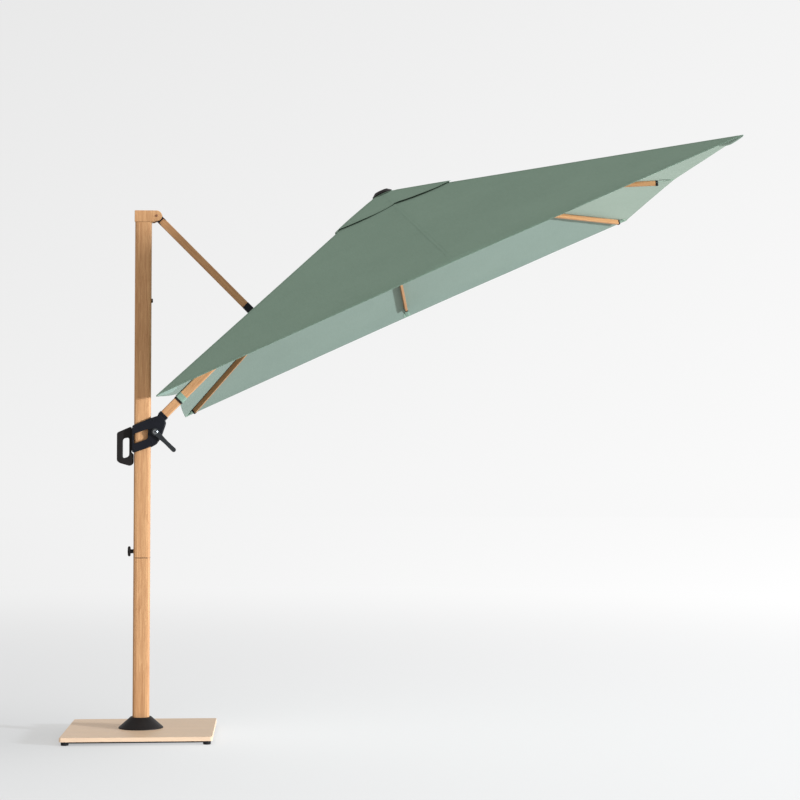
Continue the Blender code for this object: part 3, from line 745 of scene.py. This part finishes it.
def slot_binding():
    """The bound edge of the opening that the strut passes through."""
    outline = []
    middle, half_long, corner = (SLOT_FROM + SLOT_TO) / 2, (SLOT_TO - SLOT_FROM) / 2, 0.005
    for turn, (sx, sy) in enumerate(((1, 1), (-1, 1), (-1, -1), (1, -1))):
        for k in range(7):
            angle = pi / 2 * (turn + k / 6)
            outline.append((sx, sy, cos(angle), sin(angle)))
        if turn in (0, 2):
            outline += [(sx * (1 - s / 4), sy, 0.0, float(sy)) for s in range(1, 8)]
    profile = (
        (-0.0012, 0.0004), (-0.0014, 0.0018), (0.0010, 0.0026), (0.0130, 0.0025), (0.0150, 0.0016),
        (0.0150, -0.0003), (0.0130, -0.0012), (0.0010, -0.0014), (-0.0010, -0.0008),
    )  # fmt: skip
    rings = []
    for sx, sy, nx, ny in outline:
        ring = []
        for grow, lift in profile:
            radius = corner + grow
            m = middle + sx * (half_long - corner) + radius * nx
            b = sy * (SLOT_HALF - corner) + radius * ny
            spot, _ = spoke_spot(canopy_height, "arm", m, b, lift)
            ring.append(spot)
        rings.append(ring)
    binding = skin("slot_binding", rings, WEBBING, closed=True)
    settle(binding, "arm", STAYS)
    pile = Pile()
    for grow in (0.0030, 0.0115):
        line = []
        for sx, sy, nx, ny in [*outline, outline[0]]:
            m = middle + sx * (half_long - corner) + (corner + grow) * nx
            b = sy * (SLOT_HALF - corner) + (corner + grow) * ny
            line.append(spoke_spot(canopy_height, "arm", m, b, 0.0024))
        stitch_line(pile, line)
    sewn = pile.made("slot_stitches", THREAD)
    settle(sewn, "arm", STAYS)
    return [binding, sewn]


for name in SPOKES:
    corner = is_corner(name)
    reach = sqrt(2) if corner else 1.0
    ridge_seam = Pile()
    if name == "arm":
        edge = HALF - ARM_BOW - 0.003
        tape(ridge_seam, canopy_height, name, HOLE + 0.003, SLOT_FROM - 0.020, 0.011, CLOTH)
        tape(ridge_seam, canopy_height, name, SLOT_TO + 0.020, edge, 0.011, CLOTH + 0.0006)
    else:
        edge = HALF * reach - (0.030 if corner else 0.002)
        tape(ridge_seam, canopy_height, name, HOLE * reach + 0.003, edge, 0.011, CLOTH)
    ridge_seam = ridge_seam.made(f"canopy_seam_{name}", CANVAS)
    settle(ridge_seam, name, STAYS if name == "arm" else None)

    long = (HALF - HOLE) * reach / cos(fall_of(name))
    sizes = {
        "strip": 2 * STRIP_HALF,
        "left": HALF * (1 - SPLIT) / sqrt(2) if corner else SPLIT * HALF,
    }  # fmt: skip
    if name == "arm":
        sizes["left"] -= STRIP_HALF
    sizes["right"] = sizes["left"]
    cuts = {
        "strip": 2 * STRIP_HALF * (long - (SLOT_TO - SLOT_FROM)),
        "left": (1 - SPLIT if corner else SPLIT) * (HALF**2 - HOLE**2) / 2 / cos(SIDE_FALL),
    }  # fmt: skip
    if name == "arm":
        cuts["left"] -= STRIP_HALF * long
    cuts["right"] = cuts["left"]
    for label, columns, folds in parts_of_share(name):
        missing = set()
        if label == "strip":
            between = [
                i for i in range(len(ROWS) - 1)
                if SLOT_FROM - 1e-6 <= ROWS[i] and ROWS[i + 1] <= SLOT_TO + 1e-6
            ]  # fmt: skip
            pairs = enumerate(zip(columns, columns[1:]))
            inside = [j for j, (c, d) in pairs if abs(c + d) < SLOT_COLUMNS]
            missing = {(i, j) for i in between for j in inside}
        cloth = cloth_share(
            f"canopy_{label}", name, ROWS, columns, canopy_height, canopy_layers, HALF, missing
        )  # fmt: skip
        settle(cloth, name, folds)
        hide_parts("canopy")
        hems = Pile()
        for m in (HALF - HEM + 0.0035, HALF - 0.0045, HOLE + 0.016):
            hem_line(hems, name, m, canopy_height, 0.0022, HALF, columns[0], columns[-1])
        hems = hems.made(f"canopy_hem_{label}_{name}", CANVAS)
        settle(hems, name, folds)
        holds_seam = label == ("strip" if name == "arm" else "right")
        sewn = [hems, ridge_seam] if holds_seam else [hems]
        if label == "strip":
            sewn += slot_binding()
        declare_cloth(sizes[label], long, cuts[label])

    vent_rows = (
        VENT_HOLE, 0.047, 0.054, 0.061, 0.075, 0.11, 0.15, 0.19, 0.23, 0.26, 0.29,
        VENT_HALF - VENT_HEM - 0.001, VENT_HALF - VENT_HEM, VENT_HALF - 0.009, VENT_HALF - 0.001,
        VENT_HALF,
    )  # fmt: skip
    vent_columns = both_ways((0, 0.02, 0.05, 0.12, 0.22, 0.35, 0.5, 0.65, 0.82, 1))
    top = cloth_share("vent", name, vent_rows, vent_columns, vent_height, vent_layers, VENT_HALF)
    settle(top, name)
    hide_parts("vent")
    vent_seams = Pile()
    tape(vent_seams, vent_height, name, 0.070 * reach, VENT_HALF * reach - 0.002, 0.009, CLOTH)
    for m in (VENT_HALF - VENT_HEM + 0.003, VENT_HALF - 0.004):
        hem_line(vent_seams, name, m, vent_height, 0.0020, VENT_HALF)
    vent_sewn = vent_seams.made(f"vent_seams_{name}", CANVAS)
    settle(vent_sewn, name)
    if corner:
        wide, long = VENT_HALF * (1 - SPLIT) * sqrt(2), (VENT_HALF - VENT_HOLE) * sqrt(2) * 1.05
    else:
        wide, long = 2 * SPLIT * VENT_HALF, (VENT_HALF - VENT_HOLE) * 1.05
    cut = (1 - SPLIT if corner else SPLIT) * (VENT_HALF**2 - VENT_HOLE**2) / cos(SIDE_FALL)
    declare_cloth(wide, long, cut)


def vent_disc():
    """The vent's middle, clamped between the hub and its cap."""
    radii, steps = (0.0190, 0.030, 0.044, 0.054, 0.060, 0.066), 48
    angles = [2 * pi * k / steps for k in range(steps)]

    def ring(r, lift):
        n = 0.5963 + lift - max(r - 0.052, 0.0) * 0.30
        return [CENTRE + r * (cos(a) * EX + sin(a) * EY) + n * EN for a in angles]

    rings = [ring(r, 0.0) for r in radii] + [ring(r, CLOTH) for r in reversed(radii)]
    disc = skin("vent_disc", rings, CANVAS, closed=True)
    fixed(disc, "crown")
    declare_cloth(0.132, 0.132, cut=pi * 0.066**2)


vent_disc()


# ---------------------------------------------------------------- rib ends, pockets and straps
def rib_frame(name):
    """The rib's hinge pin, its direction outwards, its width and upwards, and its length."""
    fall = fall_of(name)
    along = cos(fall) * outwards(name) - sin(fall) * EN
    across = EN.cross(outwards(name))
    end = CORNER_RIB_END if is_corner(name) else SIDE_RIB_END
    pin = HUB + HUB_PIN_RADIUS * outwards(name)
    return pin, along, across, along.cross(across), (end - HUB_PIN_RADIUS) / cos(fall)


def rib_end(name):
    pin, along, across, up, reach = rib_frame(name)
    stations = (
        (-0.0110, 0.0008, 0.0008, 0.0016), (-0.0105, 0.0016, 0.0016, 0.0020),
        (0.0012, 0.0016, 0.0016, 0.0022), (0.0030, 0.0004, 0.0004, 0.0028),
        (0.0038, -0.0030, -0.0030, 0.0032),
    )  # fmt: skip
    rings = [
        section(
            pin + (reach + u) * along - 0.0002 * up, across, up, RIB_WIDTH + w, RIB_DEPTH + d, corner
        )
        for u, w, d, corner in stations
    ]
    cap = skin(f"rib_cap_{name}", rings, BLACK_PLASTIC, sharp=50)
    fixed(cap, body_of(name))

    edge = HALF * sqrt(2) - 0.012 if is_corner(name) else HALF - 0.004
    start = (CORNER_RIB_END if is_corner(name) else SIDE_RIB_END) - 0.004
    half = 0.0085
    rows = [start + (edge - start) * k / 10 for k in range(11)]
    columns = (-1, -0.92, -0.5, 0, 0.5, 0.92, 1)

    def place(distance, column):
        t = (distance - start) / (edge - start)
        width = half * (1 - 0.45 * t) if is_corner(name) else half
        sunk = 0.0040 + 0.0090 * (1 - t) ** 1.6 + 0.0030 * sin(pi * t)
        lift = -0.0006 - sunk * (1 - t)
        upper, normal = spoke_spot(canopy_height, name, distance, column * width, lift)
        edge_thin = 0.6 if abs(column) > 0.95 else 1.0
        return upper - 0.0016 * edge_thin * normal, upper, normal

    pile = Pile().add(*shell(rows, columns, place))
    strap = pile.made(f"rib_strap_{name}", WEBBING)
    fixed(strap, body_of(name))
    mean_width = 2 * half * (0.775 if is_corner(name) else 1)
    declare_cloth(2 * half, edge - start, cut=mean_width * (edge - start))

    patch_from = edge - (0.060 if is_corner(name) else 0.034)
    rows = [patch_from + (edge - patch_from) * k / 6 for k in range(7)]

    def patch_place(distance, column):
        t = (distance - patch_from) / (edge - patch_from)
        width = 0.034 * (1 - t) + 0.010 if is_corner(name) else 0.020
        lower, normal = spoke_spot(canopy_height, name, distance, column * width, -0.0016)
        upper, _ = spoke_spot(canopy_height, name, distance, column * width, -0.0002)
        return lower, upper, normal

    pile = Pile().add(*shell(rows, columns, patch_place))
    patch = pile.made(f"rib_patch_{name}", CANVAS)
    settle(patch, name)
    wide, mean = (0.088, 0.054) if is_corner(name) else (0.040, 0.040)
    declare_cloth(wide, edge - patch_from, cut=mean * (edge - patch_from))


def rib_pocket(name):
    """A pocket of cloth that holds the rib's end and runs out into the canopy's corner."""
    across = EN.cross(outwards(name))
    tip = hypot(*cloth_place(name, HALF, 0)) - 0.004
    rings = []
    long = tip - CORNER_RIB_END + 0.042
    full = 0.048 / long  # as deep as the rib up to here, then tapering
    for k in range(15):
        t = k / 14
        distance = CORNER_RIB_END - 0.042 + long * t
        middle, normal = spoke_spot(canopy_height, name, distance, 0.0, -0.0008)
        if t < full:
            deep = 0.0350 + 0.0015 * sin(9 * t)
        else:
            deep = 0.0330 * ((1 - t) / (1 - full)) ** 0.8 + 0.0025
        wide = 0.0240 + 0.0040 * sin(pi * t) - 0.0140 * t * t
        at = middle - deep / 2 * normal
        rings.append(section(at, across, normal, wide, deep, min(0.006, deep * 0.45), 4))
    # The pocket wears the underside's copy of the canvas, painted shade.
    pocket = skin(f"rib_pocket_{name}", rings, CANVAS_UNDERSIDE_SHADE)
    fixed(pocket, body_of(name))
    declare_cloth(0.055, 0.130, cut=0.85 * 0.055 * 0.130)


for name in SPOKES:
    if name != "arm":
        rib_end(name)
    if name in ("near_left", "near_right"):
        rib_pocket(name)


def strap_loop():
    """The cloth loop that ties the canopy's edge to the arm."""
    low, high = 0.2113, 0.2450
    rings = []
    for u, swell in (
        (low, 0.0), (low + 0.0008, 0.0005), (low + 0.005, 0.0008), (low + 0.012, 0.0003),
        (high - 0.012, 0.0004), (high - 0.005, 0.0009), (high - 0.0008, 0.0005), (high, 0.0),
    ):  # fmt: skip
        width, depth = ARM_WIDTH + 0.0036 + swell, ARM_DEPTH + 0.0036 + swell
        rings.append(section(arm_point(u), EY, ARM_UP, width, depth, 0.0095, 5))
    for u in (high, low):
        rings.append(section(arm_point(u), EY, ARM_UP, ARM_WIDTH + 0.0006, ARM_DEPTH + 0.0006, 0.0083, 5))
    loop = skin("strap_loop", rings, CANVAS, closed=True)
    fixed(loop, "arm")
    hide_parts("arm_strap")
    round_it = 2 * (ARM_WIDTH + ARM_DEPTH)
    pile = Pile()
    for u in (low + 0.0035, high - 0.0035):
        ring = section(arm_point(u), EY, ARM_UP, ARM_WIDTH + 0.0044, ARM_DEPTH + 0.0044, 0.0098, 5)
        line = [(p, (p - arm_point(u)).normalized()) for p in [*ring, ring[0]]]
        stitch_line(pile, line)
    sewn = pile.made("strap_stitches", THREAD)
    fixed(sewn, "arm")
    declare_cloth(high - low, round_it)

    top = ARM_DEPTH / 2 + 0.0018
    rings = []
    for u, lift, thick in (
        (0.2125, 0.0, 0.0010), (0.2135, 0.0, 0.0024), (0.222, 0.0, 0.0028), (0.232, 0.0, 0.0024),
        (0.242, -0.0003, 0.0010),
    ):  # fmt: skip
        at = arm_point(u, top + lift + thick / 2)
        rings.append(section(at, EY, ARM_UP, 0.030, thick, min(0.0010, thick * 0.45), 2))
    tab = skin("strap_tab", rings, WEBBING)
    fixed(tab, "arm")
    declare_cloth(0.030, 0.030)


strap_loop()


# ---------------------------------------------------------------- small fittings
def knob_grip():
    low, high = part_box("lock_knob")
    centre = (low + high) / 2
    radius = (high.z - low.z) / 2
    left = Vector((-1, 0, 0))
    origin = Vector((0, centre.y, centre.z))
    wide, narrow = radius + 0.0006, radius - 0.003
    profile = ((narrow, 0.0620), (wide, 0.0632), (wide, 0.0704), (narrow, 0.0716))
    grip = turned(
        "lock_knob_grip", profile, origin, left, BLACK_PLASTIC, steps=96, lobes=12, lobe_depth=0.0009
    )  # fmt: skip
    fixed(grip, "lock_knob")
    inlay = ((0.0125, 0.0730), (0.0125, 0.0742), (0.0105, 0.0748), (0.0040, 0.0750), (0.0005, 0.0750))
    disc = turned("lock_knob_inlay", inlay, origin, left, BLACK_PAINT)
    fixed(disc, "lock_knob")


def hexagonal_socket_shade(name, radius, low, high, at, axis, body):
    """A dark six-sided disc on a screw's head: painted shade that stands for the socket in it."""
    profile = ((radius, low), (radius, high), (0.0005, high))
    fixed(turned(name, profile, at, axis, BLACK_PAINT, steps=6), body)


def pin_button(name, at, axis, body, radius, high, look, socket=True):
    """A domed head at the end of a pin, with a dark six-sided disc of painted shade for its socket if it
    has one.
    """
    profile = (
        (radius, -0.0003), (radius, 0.3 * high), (0.93 * radius, 0.62 * high),
        (0.75 * radius, 0.88 * high), (0.50 * radius, high), (0.001, high),
    )  # fmt: skip
    head = turned(name, profile, at, axis, look)
    fixed(head, body)
    if not socket:
        return
    hexagonal_socket_shade(name + "_socket_shade", 0.40 * radius, high - 0.0006, high + 0.0002, at, axis, body)


def mast_joint():
    """A thin dark ring between the two halves of the mast: painted shade standing for the shadow in the
    joint.
    """
    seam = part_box("lower_mast")[1].z
    low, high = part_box("upper_mast")
    centre, size = (low + high) / 2, high - low
    rings = []
    for z, grow in ((-0.0019, -0.0004), (-0.0016, 0.0006), (0.0016, 0.0006), (0.0019, -0.0004)):
        at = Vector((centre.x, centre.y, seam + z))
        rings.append(section(at, Vector((1, 0, 0)), EY, size.x + grow, size.y + grow, 0.0200, 6))
    joint_shade = skin("mast_joint_shade", rings, JOINT_SHADE)
    fixed(joint_shade, "mast")


def strut_sleeve():
    """The strut's printed skin runs on over part of its upper end."""
    rings = [
        section(HEAD_PIN - d * STRUT_DIR, EY, STRUT_DIR.cross(EY), 0.0320 + grow, 0.0400 + grow, 0.006, 4)
        for d, grow in ((0.0352, 0.0001), (0.0356, 0.0006), (0.0500, 0.0006), (0.0503, 0.0001))
    ]
    sleeve = skin("strut_sleeve", rings, WOOD["strut_tube"])
    fixed(sleeve, "strut")


def fittings():
    knob_grip()
    mast_joint()
    strut_sleeve()
    low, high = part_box("head_pin")
    at = (low + high) / 2
    for side, where in ((-1, "near"), (1, "far")):
        end = Vector((at.x, high.y if side > 0 else low.y, at.z))
        pin_button(
            f"head_button_{where}", end, side * EY, "mast", 0.0068, 0.0020, BROWN_PLASTIC,
            False,
        )  # fmt: skip
    low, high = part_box("pivot_bolt")
    face = Vector((CARRIAGE_PIN.x, low.y, CARRIAGE_PIN.z))
    # A dark disc on the bolt's face: painted shade for its socket.
    hexagonal_socket_shade("pivot_bolt_socket_shade", 0.0052, -0.0004, 0.0002, face, -EY, "carriage")
    near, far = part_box("cheek_near")[0].y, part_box("cheek_far")[1].y
    spots = ((-0.0440, 1.6280), (-0.0430, 1.5200), (0.0560, 1.6760), (0.0540, 1.5560))
    for k, (x, z) in enumerate(spots):
        for side, where, y in ((-1, "near", near), (1, "far", far)):
            pin_button(
                f"cheek_screw_{where}_{k}", Vector((x, y, z)), side * EY, "carriage", 0.0042, 0.0018,
                BLACK_PAINT,
            )  # fmt: skip


fittings()


# ---------------------------------------------------------------- studio
def backdrop(tree, direction):
    """The grey of the surroundings: brighter on the lamp's side, a little darker higher up."""
    parts = node(tree, "SeparateXYZ", {0: direction})
    grey = maths(tree, "ADD", maths(tree, "MULTIPLY", parts.outputs[0], 0.20), 0.906)
    grey = maths(tree, "SUBTRACT", grey, ranged(tree, parts.outputs[2], 0.0, 0.35, 0.0, 0.09))
    return node(tree, "CombineXYZ", {0: grey, 1: grey, 2: grey}).outputs[0]


def studio():
    steps, rings = 96, (0.0, 1.0, 3.0, 8.0, 20.0, 60.0)
    points, faces = [], []
    for r in rings:
        points += [(r * cos(2 * pi * k / steps), r * sin(2 * pi * k / steps), 0.0) for k in range(steps)]
    for n in range(len(rings) - 1):
        for k in range(steps):
            j = (k + 1) % steps
            faces.append((n * steps + k, (n + 1) * steps + k, (n + 1) * steps + j, n * steps + j))
    mesh = bpy.data.meshes.new("floor")
    mesh.from_pydata(points, [], faces)
    floor = bpy.data.objects.new("floor", mesh)
    bpy.context.scene.collection.objects.link(floor)
    look, tree, shader = finish_named("studio_floor")
    shader.inputs["Base Color"].default_value = (0.632, 0.628, 0.622, 1)
    shader.inputs["Roughness"].default_value = 0.75
    shader.inputs["Specular IOR Level"].default_value = 0.2
    point = node(tree, "TexCoord").outputs["Object"]
    distance = node(tree, "VectorMath", {0: point}, operation="LENGTH").outputs["Value"]
    near_to_far = {0: distance, 1: 2.5, 2: 14.0, 3: 0.55, 4: 1.0}
    share = node(tree, "MapRange", near_to_far, interpolation_type="SMOOTHSTEP").outputs[0]
    outwards_point = node(tree, "VectorMath", {0: point}, operation="NORMALIZE").outputs[0]
    glow = node(tree, "Emission", {"Color": backdrop(tree, outwards_point), "Strength": 1.0})
    both = node(tree, "MixShader", {0: share, 1: shader.outputs[0], 2: glow.outputs[0]})
    tree.links.new(both.outputs[0], tree.nodes["Material Output"].inputs["Surface"])
    mesh.materials.append(look)

    world = bpy.data.worlds.new("studio")
    bpy.context.scene.world = world
    world.use_nodes = True
    tree = world.node_tree
    around = node(tree, "TexCoord").outputs["Generated"]
    tree.links.new(backdrop(tree, around), tree.nodes["Background"].inputs["Color"])

    aim = Vector((0.0, 0.0, 2.1))
    turn, rise = radians(29), radians(4.9)
    towards_lamp = Vector((cos(rise) * cos(turn), -cos(rise) * sin(turn), sin(rise)))
    key = bpy.data.lights.new("key", "AREA")
    key.shape, key.size, key.energy, key.color = "DISK", 2.0, 15400, (0.93, 1.01, 1.11)
    made = bpy.data.objects.new("key", key)
    made.location = aim + 30.0 * towards_lamp
    made.rotation_euler = (-towards_lamp).to_track_quat("-Z", "Y").to_euler()
    bpy.context.scene.collection.objects.link(made)

    # A stand-in for light from below: it lights only the cloth, and its strength is given.
    bounce = bpy.data.lights.new("bounce", "SUN")
    bounce.energy, bounce.angle = 8.2, radians(20)
    made = bpy.data.objects.new("bounce", bounce)
    made.rotation_euler = Vector((0.60, -0.60, 0.53)).to_track_quat("-Z", "Y").to_euler()
    bpy.context.scene.collection.objects.link(made)
    cloth = bpy.data.collections.new("lit_by_bounce")
    for obj in bpy.context.scene.objects:
        if obj.name.startswith(("canopy_", "rib_strap", "rib_patch", "rib_pocket")):
            cloth.objects.link(obj)
    made.light_linking.receiver_collection = cloth
    made.light_linking.blocker_collection = cloth

    camera = bpy.data.cameras.new("camera")
    camera.lens, camera.sensor_width, camera.clip_end = 86.34, 36.0, 200.0
    viewer = bpy.data.objects.new("camera", camera)
    viewer.location = (0.6931, -10.3243, 1.3574)
    viewer.rotation_euler = (pi / 2 + 0.0415, 0.0, -0.0664)
    bpy.context.scene.collection.objects.link(viewer)
    bpy.context.scene.camera = viewer
    bpy.context.scene.view_settings.view_transform = "Standard"


studio()
